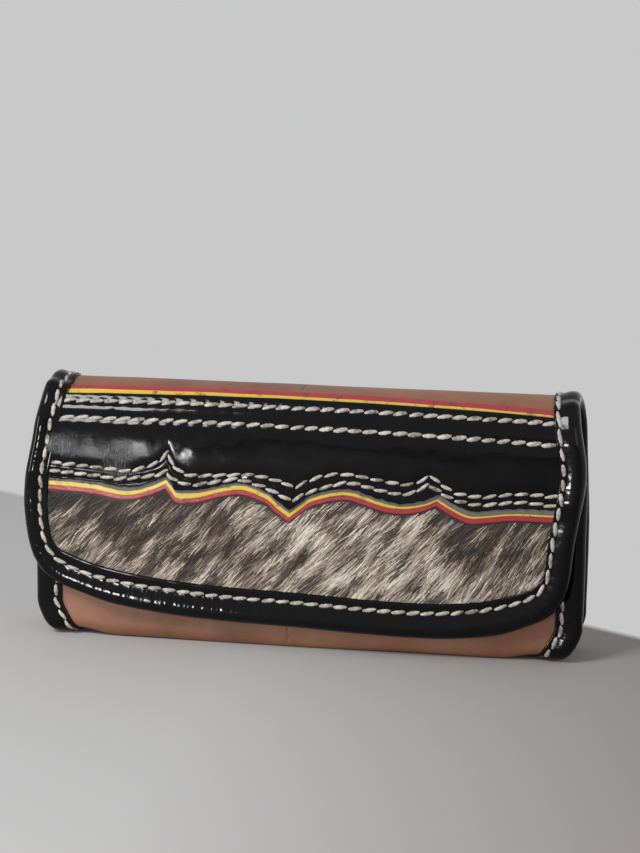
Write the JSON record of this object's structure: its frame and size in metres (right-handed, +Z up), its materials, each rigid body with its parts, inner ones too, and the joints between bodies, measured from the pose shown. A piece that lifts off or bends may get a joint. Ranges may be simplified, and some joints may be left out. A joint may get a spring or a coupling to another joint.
{
  "type": "flap wallet",
  "caption": "Long tan leather wallet on its folded base: a patent and cow-hair flap opens over zip and card pockets",
  "frame": {"origin": "the centre of the flat base, on the surface the wallet stands on", "axes": "X along the wallet, to the right as seen from the front; -Y the front with the flap; Z up"},
  "size_m": [0.1972, 0.0365, 0.0949],
  "materials": {
    "tan_leather": "satin, with a fine grain",
    "black_patent": "patent gloss",
    "thread": "waxed, off-white",
    "lining_leather": "matt",
    "zip_tape": "woven",
    "brass": "polished",
    "nickel": "polished",
    "cow_hair": "short hair on the hide",
    "red_leather": "satin",
    "yellow_leather": "satin",
    "grey_leather": "matt, worn"
  },
  "bodies": {
    "wallet_body": {"body_cover": "tan_leather", "body_binding": "black_patent", "body_stitching": "thread", "gusset_left": "lining_leather", "gusset_right": "lining_leather", "card_tier_back": "lining_leather", "card_tier_middle": "lining_leather", "card_tier_front": "lining_leather", "coin_pocket": "lining_leather", "zip_tape_front": "zip_tape", "zip_tape_back": "zip_tape", "zip_teeth_front": "brass", "zip_teeth_back": "brass", "zip_stop_left": "brass", "zip_stop_right": "brass", "snap_socket": "nickel", "snap_washer": "nickel"},
    "flap": {"flap_cover": "tan_leather", "flap_binding": "black_patent", "flap_edge_stitching": "thread", "hide_panel": "cow_hair", "red_layer": "red_leather", "yellow_layer": "yellow_leather", "grey_layer": "grey_leather", "patent_band": "black_patent", "top_stitching_upper": "thread", "top_stitching_lower": "thread", "scallop_stitching_upper": "thread", "scallop_stitching_lower": "thread", "snap_stud": "nickel"},
    "slider": {"zip_slider": "brass"},
    "pull": {"zip_pull": "brass"}
  },
  "joints": [
    {"name": "flap_hinge", "type": "hinge", "parent": "wallet_body", "child": "flap", "pos_m": [0, 0.0152, 0.07685], "axis": [-1, 0, 0], "range_deg": [0, 180]},
    {"name": "zip_slide", "type": "slide", "parent": "wallet_body", "child": "slider", "axis": [-1, 0, 0], "range_m": [0, 0.134]},
    {"name": "zip_pull_swing", "type": "hinge", "parent": "slider", "child": "pull", "pos_m": [0.0671, -0.0015, 0.0628], "axis": [0, 1, 0], "range_deg": [0, 180]}
  ]
}
